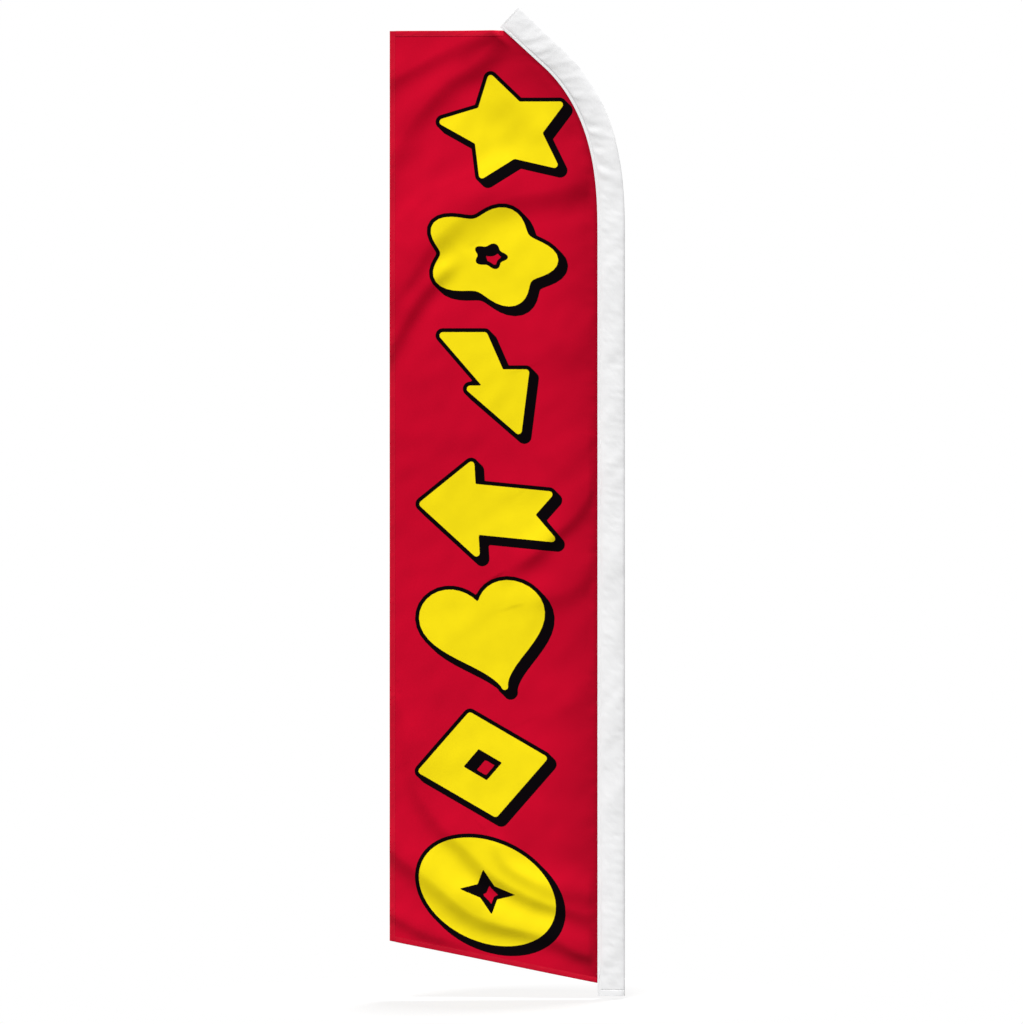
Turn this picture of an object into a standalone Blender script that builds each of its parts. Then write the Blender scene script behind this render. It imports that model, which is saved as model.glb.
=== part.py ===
"""Full-sleeve feather flag: a printed polyester panel sewn into a white pole sleeve.

The flag stands in the XZ plane, with its pole sleeve on the +X side and its panel towards -X.
The origin is the middle of the sleeve's open mouth, where the pole goes in. Its hems are turned
to the -Y face. Lengths are in metres.
"""

import math

import bmesh
import bpy
import numpy as np

# Driving dimensions of the flat pattern
PANEL_WIDTH = 0.762  # free edge to the visible edge of the sleeve
PANEL_FOOT_GAP = 0.047  # sleeve mouth up to the panel's lowest corner
FOOT_SLANT = 0.154  # rise of the panel's foot, from the sleeve out to the free edge
SLEEVE_WIDTH = 0.100  # flat width, seam to outer fold
SLEEVE_RISE = 2.776  # straight run, from the mouth up to the bend
BEND_LENGTH = 0.681  # along the seam
BEND_EASE = 1.73  # 1 is a round bend, and more bends harder near its top
TIP_LEAN = math.radians(47.5)  # lean of the straight run above the bend
TIP_RUN = 0.198  # along the seam, from the bend to the panel's top corner
TIP_OVERRUN = 0.020  # sleeve past the panel's top corner
SLEEVE_DEPTH = 0.034  # front to back, with the sleeve held open
TIP_DEPTH = 0.009  # front to back, at the sewn top end
TIP_TAPER = 0.180  # run over which the sleeve closes, down from the tip pocket

# Cloth, hems and thread
PANEL_CLOTH = 0.0008
SLEEVE_CLOTH = 0.0010
WEBBING = 0.0010
LAYER_GAP = 0.0003  # between two layers that touch
LINING_GAP = 0.0005  # between the sleeve and what lines it
FOLD_ROOM = 0.004  # a lining's edge to the sleeve's outer fold
SEAM_LAP = 0.012  # panel edge held inside the sleeve's two legs
HEM_WIDTH = 0.020
MOUTH_HEM = 0.025
POCKET_LENGTH = 0.110
SEAM_ROWS = (0.0040, 0.0085)  # stitch rows on the lap, from the sleeve's visible edge
STITCH_INSET = 0.003  # stitch row to the edge of the hem that it holds
ROW_END = 0.005  # end of a hem's row to the cloth's edge
THREAD_DIAMETER = 0.0008
BAR_TACK = (0.010, 0.034, 0.0012)  # across the seam, along it, height

# Soft relief of the panel, in front of and behind its own plane
RELIEF = 0.012
RELIEF_WAVES = (2.6, 0.7)  # waves up the panel and across it
RELIEF_FADE = 0.120  # run over which the relief grows, from the flat border inwards
FLAT_BORDER = HEM_WIDTH + 0.003  # the cloth lies flat this near to its edges

RED = (0.55, 0.004, 0.022)
WHITE = (0.86, 0.86, 0.87)
SEAM_X = -SLEEVE_WIDTH / 2
PATH_STEPS = 4000
SECTION_STEPS = 18  # round the pole's channel
STRAIGHT_SHARE = 0.2  # of the sleeve's rows, below its bend
LINING_SKIP = 2  # steps that a lining leaves free on each side of the seam


def clear_scene():
    for obj in list(bpy.data.objects):
        bpy.data.objects.remove(obj, do_unlink=True)


def smooth(value):
    """0 to 1, eased at both ends."""
    value = min(max(value, 0.0), 1.0)
    return value * value * (3.0 - 2.0 * value)


def trace_seam():
    """The sleeve's visible edge, as arrays of run, lean, x and z from the mouth upwards."""
    run = np.linspace(0.0, SEAM_CORNER + TIP_OVERRUN, PATH_STEPS)
    lean = TIP_LEAN * np.clip((run - SLEEVE_RISE) / BEND_LENGTH, 0.0, 1.0) ** BEND_EASE
    middle = (lean[1:] + lean[:-1]) / 2
    step = run[1] - run[0]
    x = SEAM_X - np.concatenate([[0.0], np.cumsum(np.sin(middle) * step)])
    z = np.concatenate([[0.0], np.cumsum(np.cos(middle) * step)])
    return run, lean, x, z


SEAM_CORNER = SLEEVE_RISE + BEND_LENGTH + TIP_RUN  # run to the panel's top corner
SLEEVE_RUN = SEAM_CORNER + TIP_OVERRUN
SEAM_PATH = trace_seam()


def seam_point(run, outward=0.0):
    """The flat (x, z) at a run up the seam, and a distance from it towards the outer fold."""
    table_run, table_lean, table_x, table_z = SEAM_PATH
    lean = float(np.interp(run, table_run, table_lean))
    x = float(np.interp(run, table_run, table_x)) + outward * math.cos(lean)
    z = float(np.interp(run, table_run, table_z)) + outward * math.sin(lean)
    return x, z


FREE_EDGE_X = SEAM_X - PANEL_WIDTH
TOP_Z = seam_point(SEAM_CORNER)[1]
FOOT_RISE_Z = PANEL_FOOT_GAP + FOOT_SLANT
FOOT_SLOPE = FOOT_SLANT / PANEL_WIDTH
LEG_Y = PANEL_CLOTH / 2 + LAYER_GAP + SLEEVE_CLOTH / 2
HEM_Y = -(PANEL_CLOTH + LAYER_GAP)
HEM_BUTT = PANEL_CLOTH + LAYER_GAP  # between a hem's end and the layer that it meets
HEM_INNER_X = FREE_EDGE_X + HEM_WIDTH
HEM_TOP_Z = TOP_Z - HEM_WIDTH
THREAD_LIFT = LAYER_GAP + THREAD_DIAMETER / 2


def sleeve_half_depth(run):
    """Half the sleeve's depth, at the middle of its cloth. It closes towards the top end."""
    closing = smooth(1.0 - (SLEEVE_RUN - POCKET_LENGTH - run) / TIP_TAPER)
    depth = SLEEVE_DEPTH + (TIP_DEPTH - SLEEVE_DEPTH) * closing
    return (depth - SLEEVE_CLOTH) / 2


def sleeve_run(share):
    """Runs up the sleeve, with most of the rows in its bend."""
    if share < STRAIGHT_SHARE:
        return SLEEVE_RISE * share / STRAIGHT_SHARE
    bent = (share - STRAIGHT_SHARE) / (1.0 - STRAIGHT_SHARE)
    return SLEEVE_RISE + (SLEEVE_RUN - SLEEVE_RISE) * bent


def panel_flat(across, up):
    """The panel's flat (x, z). Across runs 0 to 1 to the seam, and 2 is the end of its lap."""
    left_z = FOOT_RISE_Z + (TOP_Z - FOOT_RISE_Z) * up
    run = PANEL_FOOT_GAP + (SEAM_CORNER - PANEL_FOOT_GAP) * up
    seam_x, seam_z = seam_point(run)
    lap_x, lap_z = seam_point(run, SEAM_LAP * max(across - 1.0, 0.0))
    inside = min(across, 1.0)
    x = FREE_EDGE_X + (seam_x - FREE_EDGE_X) * inside + (lap_x - seam_x)
    z = left_z + (seam_z - left_z) * inside + (lap_z - seam_z)
    return x, z


def panel_row_width(up):
    """Free edge to seam, at a row of the panel."""
    return seam_point(PANEL_FOOT_GAP + (SEAM_CORNER - PANEL_FOOT_GAP) * up)[0] - FREE_EDGE_X


def panel_relief(across, up):
    """The panel's soft rise and fall, which dies away at every sewn edge."""
    x, z = panel_flat(across, up)
    row_width = panel_row_width(up)
    from_sides = row_width * max(min(across, 1.0 - across), 0.0)
    from_ends = (TOP_Z - FOOT_RISE_Z) * min(up, 1.0 - up)
    inner = smooth((from_sides - FLAT_BORDER) / RELIEF_FADE)
    inner *= smooth((from_ends - FLAT_BORDER) / RELIEF_FADE)
    turns = RELIEF_WAVES[0] * z / TOP_Z + RELIEF_WAVES[1] * (x - FREE_EDGE_X) / PANEL_WIDTH
    return RELIEF * inner * math.sin(2.0 * math.pi * turns)


def make_material(name, color, roughness):
    material = bpy.data.materials.new(name)
    material.use_nodes = True
    shader = material.node_tree.nodes["Principled BSDF"]
    shader.inputs["Base Color"].default_value = (*color, 1.0)
    shader.inputs["Roughness"].default_value = roughness
    shader.inputs["Metallic"].default_value = 0.0
    return material


def add_to_flag(name, data, color, roughness):
    obj = bpy.data.objects.new(name, data)
    data.materials.append(make_material(name, color, roughness))
    bpy.data.collections["feather_flag"].objects.link(obj)
    return obj


def cloth(name, place, columns, rows, thickness, color, roughness=0.85):
    """A layer of cloth: a flat grid, laid where place(across, up) says and thickened both ways."""
    mesh = bpy.data.meshes.new(name)
    grid = bmesh.new()
    bmesh.ops.create_grid(grid, x_segments=columns, y_segments=rows, size=0.5)
    for vert in grid.verts:
        vert.co = place(vert.co.x + 0.5, vert.co.y + 0.5)
    grid.to_mesh(mesh)
    grid.free()
    obj = add_to_flag(name, mesh, color, roughness)
    layer = obj.modifiers.new("Thickness", "SOLIDIFY")
    layer.thickness = thickness
    layer.offset = 0.0
    return obj


def thread(name, points, color, roughness=0.6):
    """A row of sewing thread through points, as one thin tube."""
    curve = bpy.data.curves.new(name, "CURVE")
    curve.dimensions = "3D"
    curve.bevel_depth = THREAD_DIAMETER / 2
    curve.bevel_resolution = 1
    curve.use_fill_caps = True
    spline = curve.splines.new("POLY")
    spline.points.add(len(points) - 1)
    for point, place in zip(spline.points, points):
        point.co = (*place, 1.0)
    return add_to_flag(name, curve, color, roughness)


def thread_pair(name, flat_points, front_y, back_y, color):
    """The needle thread in front of a flat seam, and its bobbin thread behind."""
    thread(f"{name}_needle_thread", [(x, front_y, z) for x, z in flat_points], color)
    thread(f"{name}_bobbin_thread", [(x, back_y, z) for x, z in flat_points], color)


def bordered(index, count, border):
    """Places 0 to 1 for the lines of a grid, with the first and last space as wide as border."""
    if index in (0, count):
        return index / count
    return border + (1.0 - 2.0 * border) * (index - 1) / (count - 2)


def build_panel():
    columns = 13  # the last one is the lap
    rows = 50

    def place(column_share, row_share):
        column = round(column_share * columns)
        up = bordered(round(row_share * rows), rows, FLAT_BORDER / (TOP_Z - FOOT_RISE_Z))
        across = 2.0
        if column < columns:
            across = bordered(column, columns - 1, FLAT_BORDER / panel_row_width(up))
        x, z = panel_flat(across, up)
        return x, panel_relief(across, up), z

    cloth("flag_panel", place, columns, rows, PANEL_CLOTH, RED)


def foot_z(x, above=0.0):
    """Height of the slanted foot edge at x."""
    return PANEL_FOOT_GAP + FOOT_SLOPE * (SEAM_X - x) + above


def seam_x_at(z):
    """Where the sleeve's visible edge is at a height."""
    return float(np.interp(z, SEAM_PATH[3], SEAM_PATH[2]))


def hem(name, start, end):
    """A turned layer between two ends, each given as its outer and inner (x, z) corner."""

    def place(across, up):
        outer = [a + (b - a) * across for a, b in zip(start[0], end[0])]
        inner = [a + (b - a) * across for a, b in zip(start[1], end[1])]
        x, z = [a + (b - a) * up for a, b in zip(outer, inner)]
        return x, HEM_Y, z

    cloth(name, place, 2, 1, PANEL_CLOTH, RED)


def build_hems():
    """Turned edges, butted at the corners and stopped short of the sleeve's front leg."""
    left = FREE_EDGE_X + HEM_WIDTH + HEM_BUTT
    right = SEAM_X - HEM_BUTT
    top_right = seam_x_at(TOP_Z) - HEM_BUTT
    inner_top_right = seam_x_at(HEM_TOP_Z) - HEM_BUTT
    hem(
        "fly_hem",
        ((FREE_EDGE_X, foot_z(FREE_EDGE_X)), (HEM_INNER_X, foot_z(HEM_INNER_X))),
        ((FREE_EDGE_X, TOP_Z), (HEM_INNER_X, TOP_Z)),
    )
    hem(
        "top_hem",
        ((left, TOP_Z), (left, HEM_TOP_Z)),
        ((top_right, TOP_Z), (inner_top_right, HEM_TOP_Z)),
    )
    hem(
        "foot_hem",
        ((left, foot_z(left)), (left, foot_z(left, HEM_WIDTH))),
        ((right, foot_z(right)), (right, foot_z(right, HEM_WIDTH))),
    )


def build_hem_threads():
    """Stitch rows near the inner edge of each hem."""
    front_y = HEM_Y - PANEL_CLOTH / 2 - THREAD_LIFT
    back_y = PANEL_CLOTH / 2 + THREAD_LIFT
    row_x = HEM_INNER_X - STITCH_INSET
    row_z = HEM_TOP_Z + STITCH_INSET
    next_x = row_x + THREAD_DIAMETER + LAYER_GAP
    fly_row = [(row_x, foot_z(row_x, ROW_END)), (row_x, TOP_Z - ROW_END)]
    top_row = [(next_x, row_z), (seam_x_at(row_z) - ROW_END, row_z)]
    foot_row = [(x, foot_z(x, HEM_WIDTH - STITCH_INSET)) for x in (next_x, SEAM_X - ROW_END)]
    for name, row in (("fly_hem", fly_row), ("top_hem", top_row), ("foot_hem", foot_row)):
        thread_pair(name, row, front_y, back_y, RED)


def sleeve_section(run, step, inset=0.0):
    """A point round the pole's channel, as outward and y. Step 0 is at the back, by the seam.

    Inset moves it inwards, for a lining, which also stays out of the sharp outer fold. Where it
    is negative the point lies outside the sleeve.
    """
    open_angle = math.asin(LEG_Y / sleeve_half_depth(run))
    angle = (math.pi - open_angle) * (1.0 - 2.0 * step / SECTION_STEPS)
    half_width = (SLEEVE_WIDTH - SEAM_LAP) / 2 - inset
    if inset > 0.0:
        half_width -= FOLD_ROOM
    outward = (SLEEVE_WIDTH + SEAM_LAP) / 2 + half_width * math.cos(angle)
    return outward, (sleeve_half_depth(run) - inset) * math.sin(angle)


def channel_point(run, step, inset=0.0):
    """The same point in space, at a run up the sleeve."""
    outward, y = sleeve_section(run, step, inset)
    x, z = seam_point(run, outward)
    return x, y, z


def build_sleeve():
    """One strip: a flat leg behind the panel's edge, round the pole's channel, a leg in front."""
    columns = SECTION_STEPS + 2  # a leg on each side of the channel

    def place(around, up):
        run = sleeve_run(up)
        column = round(around * columns)
        if column in (0, columns):
            x, z = seam_point(run)
            return x, (LEG_Y if column == 0 else -LEG_Y), z
        return channel_point(run, column - 1)

    cloth("pole_sleeve", place, columns, 34, SLEEVE_CLOTH, WHITE, 0.8)


def lining(name, low, high, rows, thickness, roughness):
    """A C-shaped layer inside the sleeve, open on the seam side, between two runs."""
    inset = SLEEVE_CLOTH / 2 + LINING_GAP + thickness / 2
    columns = SECTION_STEPS - 2 * LINING_SKIP

    def place(around, up):
        return channel_point(low + (high - low) * up, LINING_SKIP + around * columns, inset)

    cloth(name, place, columns, rows, thickness, WHITE, roughness)


def build_linings():
    lining("sleeve_mouth_hem", 0.0, MOUTH_HEM, 1, SLEEVE_CLOTH, 0.8)
    lining("pole_tip_pocket", SLEEVE_RUN - POCKET_LENGTH, SLEEVE_RUN - LINING_GAP, 2, WEBBING, 0.7)


def build_seam_threads():
    """Two rows down the sleeve's lap, through both legs and the panel's edge."""
    lift = LEG_Y + SLEEVE_CLOTH / 2 + THREAD_LIFT
    for name, outward in zip(("sleeve_seam_inner", "sleeve_seam_outer"), SEAM_ROWS):
        bent_runs = np.linspace(SLEEVE_RISE, SLEEVE_RUN - ROW_END, 25)
        row = [seam_point(run, outward) for run in (ROW_END, *bent_runs)]
        thread_pair(name, row, -lift, lift, WHITE)


def build_end_threads():
    """The row round the mouth hem, outside and inside, and the row that closes the top end."""
    row_run = MOUTH_HEM - STITCH_INSET
    outside = -(SLEEVE_CLOTH / 2 + LINING_GAP + THREAD_DIAMETER / 2)
    inside = SLEEVE_CLOTH * 1.5 + 2.0 * LINING_GAP + THREAD_DIAMETER / 2
    steps = range(LINING_SKIP, SECTION_STEPS - LINING_SKIP + 1)
    for name, inset in (("needle", outside), ("bobbin", inside)):
        row = [channel_point(row_run, step, inset) for step in steps]
        thread(f"sleeve_mouth_{name}_thread", row, WHITE)
    close_run = SLEEVE_RUN - STITCH_INSET
    half = SECTION_STEPS // 2
    back_steps = range(LINING_SKIP, half - LINING_SKIP + 1)
    front_steps = range(half + LINING_SKIP, SECTION_STEPS - LINING_SKIP + 1)
    for name, steps, lift in (("front", front_steps, outside), ("back", back_steps, -outside)):
        row = []
        for step in steps:
            x, y, z = channel_point(close_run, step)
            row.append((x, y + lift, z))
        thread(f"sleeve_top_{name}_thread", row, WHITE)


def build_bar_tacks():
    """Dense blocks of stitches over the two ends of the sleeve seam, on the front leg."""
    across, along, height = BAR_TACK
    y = -(LEG_Y + SLEEVE_CLOTH / 2 + THREAD_DIAMETER + 2.0 * LAYER_GAP + height / 2)
    tacks = (("top_bar_tack", SEAM_CORNER - along), ("foot_bar_tack", PANEL_FOOT_GAP + along))
    for name, run in tacks:
        lean = float(np.interp(run, SEAM_PATH[0], SEAM_PATH[1]))
        x, z = seam_point(run, SEAM_LAP / 2)
        mesh = bpy.data.meshes.new(name)
        block = bmesh.new()
        bmesh.ops.create_cube(block, size=1.0)
        bmesh.ops.scale(block, vec=(across, height, along), verts=block.verts)
        block.to_mesh(mesh)
        block.free()
        tack = add_to_flag(name, mesh, WHITE, 0.6)
        tack.location = (x, y, z)
        tack.rotation_euler = (0.0, -lean, 0.0)
        edges = tack.modifiers.new("Rounding", "BEVEL")
        edges.width = height / 4
        edges.segments = 2


def main():
    clear_scene()
    collection = bpy.data.collections.new("feather_flag")
    bpy.context.scene.collection.children.link(collection)
    build_panel()
    build_hems()
    build_hem_threads()
    build_sleeve()
    build_linings()
    build_seam_threads()
    build_end_threads()
    build_bar_tacks()


main()
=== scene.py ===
"""Looks of the full-sleeve feather flag: printed cloth, turned hems, stitching and pole sleeve.

Every length is in metres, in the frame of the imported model: the flag stands in the XZ plane,
its free edge on the -X side, its pole sleeve on the +X side, and the hems turned to -Y.
"""

import math

import bpy
import numpy as np
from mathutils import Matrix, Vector


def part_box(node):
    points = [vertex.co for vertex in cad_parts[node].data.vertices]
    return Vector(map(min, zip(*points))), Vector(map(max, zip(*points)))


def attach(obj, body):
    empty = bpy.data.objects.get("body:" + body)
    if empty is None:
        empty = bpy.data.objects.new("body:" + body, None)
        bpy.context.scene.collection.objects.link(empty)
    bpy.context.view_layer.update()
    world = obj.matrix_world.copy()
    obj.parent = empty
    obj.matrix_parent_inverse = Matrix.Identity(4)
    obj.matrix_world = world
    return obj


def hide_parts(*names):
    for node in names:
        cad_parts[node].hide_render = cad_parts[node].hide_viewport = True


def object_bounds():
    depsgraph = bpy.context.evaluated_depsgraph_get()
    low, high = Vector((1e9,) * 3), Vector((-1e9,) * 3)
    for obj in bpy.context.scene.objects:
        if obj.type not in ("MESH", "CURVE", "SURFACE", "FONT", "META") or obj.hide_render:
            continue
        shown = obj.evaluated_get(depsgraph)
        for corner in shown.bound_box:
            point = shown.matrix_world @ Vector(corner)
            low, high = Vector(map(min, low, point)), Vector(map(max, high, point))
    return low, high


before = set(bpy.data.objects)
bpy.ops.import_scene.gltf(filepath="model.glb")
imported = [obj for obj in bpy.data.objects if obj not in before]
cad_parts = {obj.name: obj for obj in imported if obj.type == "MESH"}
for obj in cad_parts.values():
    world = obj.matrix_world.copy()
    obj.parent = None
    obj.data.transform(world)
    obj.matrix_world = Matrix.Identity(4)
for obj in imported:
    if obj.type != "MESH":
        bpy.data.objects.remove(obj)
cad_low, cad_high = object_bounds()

# The flat pattern, as the solids are cut
SLEEVE_WIDTH = 0.100
SLEEVE_RISE = 2.776
BEND_LENGTH = 0.681
BEND_EASE = 1.73
TIP_LEAN = math.radians(47.5)
TIP_RUN = 0.198
TIP_OVERRUN = 0.020
PANEL_FOOT_GAP = 0.047
FOOT_SLANT = 0.154
SEAM_LAP = 0.012
HEM_WIDTH = 0.020
MOUTH_HEM = 0.025
POCKET_LENGTH = 0.110
SEAM_ROWS = (0.0040, 0.0085)
STITCH_INSET = 0.003
ROW_END = 0.005

# Cloth and thread
PANEL_CLOTH = 0.0005
SLEEVE_CLOTH = 0.0006
LAYER_GAP = 0.0003
HEM_SLACK = 0.0004  # how far a turned hem puffs up between its fold and its stitches
THREAD_RADIUS = 0.00038
STITCH_PITCH = 0.0036
STITCH_SHARE = 0.8  # of the pitch that shows as thread

# Spacing of the meshes' lines
PANEL_STEP = 0.0058
SLEEVE_STEP = 0.0055
EDGE_STEP = 0.0005  # from a cut edge to the first line inside it
THREAD_SIDES = 6

# Linear colours
RED = (0.565, 0.0012, 0.0215)
YELLOW = (0.925, 0.735, 0.006)
BLACK = (0.0015, 0.0003, 0.0012)
WHITE = (0.875, 0.875, 0.88)

SEAM_CORNER = SLEEVE_RISE + BEND_LENGTH + TIP_RUN
SLEEVE_RUN = SEAM_CORNER + TIP_OVERRUN
FREE_EDGE_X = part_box("fly_hem")[0][0]
TOP_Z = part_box("fly_hem")[1][2]
FREE_FOOT_Z = PANEL_FOOT_GAP + FOOT_SLANT
TACK_INSET = 0.001  # from the sleeve's visible edge to a bar tack
SEAM_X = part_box("foot_bar_tack")[0][0] - TACK_INSET
PANEL_WIDTH = SEAM_X - FREE_EDGE_X
FOOT_SLOPE = (FREE_FOOT_Z - PANEL_FOOT_GAP) / PANEL_WIDTH
LEG_Y = PANEL_CLOTH / 2 + LAYER_GAP + SLEEVE_CLOTH / 2  # middle of the sleeve's layer on the seam
MOUTH_ROW = MOUTH_HEM - STITCH_INSET
TOP_ROW = SLEEVE_RUN - STITCH_INSET * 2


def smooth(value):
    """0 to 1, eased at both ends."""
    value = np.clip(value, 0.0, 1.0)
    return value * value * (3.0 - 2.0 * value)


def trace_seam():
    """The sleeve's visible edge, as arrays of run, lean, x and z from the mouth upwards."""
    run = np.linspace(0.0, SLEEVE_RUN, 4000)
    lean = TIP_LEAN * np.clip((run - SLEEVE_RISE) / BEND_LENGTH, 0.0, 1.0) ** BEND_EASE
    middle = (lean[1:] + lean[:-1]) / 2
    step = run[1] - run[0]
    x = SEAM_X - np.concatenate([[0.0], np.cumsum(np.sin(middle) * step)])
    z = np.concatenate([[0.0], np.cumsum(np.cos(middle) * step)])
    return run, lean, x, z


SEAM_PATH = trace_seam()


def seam_point(run, outward=0.0):
    """The flat (x, z) at a run up the seam, and a distance from it towards the outer fold."""
    table_run, table_lean, table_x, table_z = SEAM_PATH
    lean = np.interp(run, table_run, table_lean)
    x = np.interp(run, table_run, table_x) + outward * np.cos(lean)
    z = np.interp(run, table_run, table_z) + outward * np.sin(lean)
    return x, z


def foot_z(x):
    return PANEL_FOOT_GAP + FOOT_SLOPE * (SEAM_X - x)


def seam_x_at(z):
    return np.interp(z, SEAM_PATH[3], SEAM_PATH[2])


# ---------------------------------------------------------------- cloth relief

# Folds of the panel: how far the cloth stands out of its plane, how wide the fold's lower and
# upper sides are, and points along its crest (from the free edge, above the mouth).
FOLDS = (
    # fanning out of the top corner, where the bent sleeve pulls
    ((0.0105, 0.040, 0.080), (
        (0.500, 3.600), (0.400, 3.565), (0.330, 3.530), (0.224, 3.485), (0.110, 3.430), (0.020, 3.362),
        (-0.050, 3.290),
    )),
    ((0.0140, 0.050, 0.085), (
        (0.480, 3.570), (0.400, 3.512), (0.310, 3.440), (0.180, 3.345), (0.080, 3.225), (0.000, 3.085),
        (-0.060, 2.905),
    )),
    ((0.0080, 0.080, 0.075), (
        (0.390, 3.500), (0.415, 3.400), (0.450, 3.300), (0.540, 3.180), (0.660, 3.080),
    )),
    # across from the end of the bend to the free edge
    ((0.0170, 0.062, 0.110), (
        (0.860, 3.060), (0.760, 3.020), (0.600, 2.975), (0.400, 2.920), (0.210, 2.830), (0.080, 2.690),
        (0.000, 2.520), (-0.050, 2.380),
    )),
    ((0.0115, 0.036, 0.036), (
        (0.260, 2.720), (0.150, 2.625), (0.070, 2.510), (0.000, 2.390), (-0.060, 2.280),
    )),
    # short pulls off the sleeve's straight seam
    ((0.0065, 0.050, 0.060), (
        (0.850, 2.120), (0.750, 2.050), (0.700, 2.005), (0.640, 1.955), (0.560, 1.900),
    )),
    ((0.0145, 0.038, 0.080), (
        (0.850, 1.960), (0.755, 1.870), (0.690, 1.800), (0.620, 1.718), (0.540, 1.630), (0.430, 1.560),
    )),
    ((0.0080, 0.042, 0.055), (
        (0.850, 1.655), (0.760, 1.575), (0.690, 1.520), (0.610, 1.475), (0.500, 1.440),
    )),
    ((0.0070, 0.055, 0.070), (
        (0.850, 2.500), (0.760, 2.440), (0.690, 2.370), (0.580, 2.330),
    )),
    ((0.0060, 0.055, 0.070), (
        (0.850, 1.230), (0.760, 1.160), (0.690, 1.090), (0.580, 1.040),
    )),
    # sagging from the free edge to the seam's foot
    ((0.0130, 0.038, 0.085), (
        (0.040, 1.080), (0.060, 0.950), (0.090, 0.830), (0.160, 0.680), (0.260, 0.560), (0.380, 0.460),
        (0.520, 0.375), (0.750, 0.290), (0.860, 0.260),
    )),
    ((0.0065, 0.028, 0.036), (
        (0.350, 0.600), (0.440, 0.490), (0.590, 0.405), (0.755, 0.355), (0.860, 0.330),
    )),
    ((0.0130, 0.038, 0.080), (
        (-0.090, 0.640), (0.000, 0.545), (0.090, 0.455), (0.220, 0.360), (0.380, 0.275),
        (0.540, 0.220), (0.750, 0.165), (0.860, 0.140),
    )),
    ((0.0060, 0.028, 0.040), (
        (-0.090, 0.360), (0.000, 0.305), (0.120, 0.250), (0.320, 0.190),
    )),
)
FOLD_REACH = (0.12, 0.20)  # from its crest, a fold fades out between these two distances
FOLD_WANDER = 0.007  # of a crest, to either side of its curve
FOLD_END = 0.30  # share of its height that a fold has at its two ends
BROAD_WAVE = 0.004
LESSER_WAVE = 0.0022
CRUMPLE = 0.0007
PUCKER = 0.0005  # along the seam
SEAM_REACH = 0.036  # run over which the seam holds the cloth flat
SEAM_STEP_BACK = 0.009  # the panel stands this far in front of its straight seam,
BODY_STEP_BACK = 0.0095  # and goes back by this much again, away from the seam
BEND_STEP_BACK = 0.0170  # in the bend it only falls away from the seam, by this much
HIGH_FOLD = 0.015  # what stands further out than this is eased back,
FOLD_ROOM = 0.009  # to at most this much more


def curve_through(points, count):
    """Points along a smooth curve through the given ones."""
    points = np.array(points, float)
    ends = np.vstack([2 * points[0] - points[1], points, 2 * points[-1] - points[-2]])
    spans = len(points) - 1
    where = np.linspace(0.0, spans, count)
    span = np.minimum(where.astype(int), spans - 1)
    t = (where - span)[:, None]
    a, b, c, d = (ends[span + k] for k in range(4))
    return 0.5 * (2 * b + (c - a) * t + (2 * a - 5 * b + 4 * c - d) * t**2 + (3 * b - a - 3 * c + d) * t**3)


def distance_to_curve(x, z, curve):
    """Distance from each point to a curve, signed positive on its lower side, and the share."""
    best = np.full(x.shape, np.inf)
    signed = np.zeros(x.shape)
    share = np.zeros(x.shape)
    for k in range(len(curve) - 1):
        (ax, az), (bx, bz) = curve[k], curve[k + 1]
        ex, ez = bx - ax, bz - az
        length = math.hypot(ex, ez)
        t = np.clip(((x - ax) * ex + (z - az) * ez) / length**2, 0.0, 1.0)
        dx, dz = x - ax - ex * t, z - az - ez * t
        far = np.hypot(dx, dz)
        side = np.sign(ex * dz - ez * dx) * (-1.0 if ex > 0 else 1.0)
        nearer = far < best
        best = np.where(nearer, far, best)
        signed = np.where(nearer, far * side, signed)
        share = np.where(nearer, (k + t) / (len(curve) - 1), share)
    return signed, share


def waves(x, z, seed, count, shortest, longest, lean, spread):
    """A smooth random field of rms about 1, its crests leaning by about lean from level."""
    rng = np.random.default_rng(seed)
    total = np.zeros(np.shape(x))
    weight = 0.0
    for _ in range(count):
        wavelength = math.exp(rng.uniform(math.log(shortest), math.log(longest)))
        across = lean + math.pi / 2 + rng.normal(0.0, spread)
        size = wavelength / longest
        phase = rng.uniform(0.0, 2.0 * math.pi)
        turns = (x * math.cos(across) + z * math.sin(across)) / wavelength
        total += size * np.sin(2.0 * math.pi * turns + phase)
        weight += size * size / 2
    return total / math.sqrt(weight)


def seam_distance(x, z):
    """Distance from the sleeve's visible edge."""
    run = np.concatenate([[0.0], np.linspace(SLEEVE_RISE, SLEEVE_RUN, 40)])
    px, pz = seam_point(run)
    return np.abs(distance_to_curve(x, z, np.stack([px, pz], axis=1))[0])


def fold_profile(signed, lower, upper):
    """Height across a fold: a gentle upper side, a steep lower side and a shallow trough."""
    below = np.maximum(signed, 0.0) / lower
    above = np.minimum(signed, 0.0) / upper
    trough = 0.32 * below**2 * np.exp(-((below / 1.5) ** 2))
    return np.exp(-(below**2) - above**2) - trough


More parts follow.
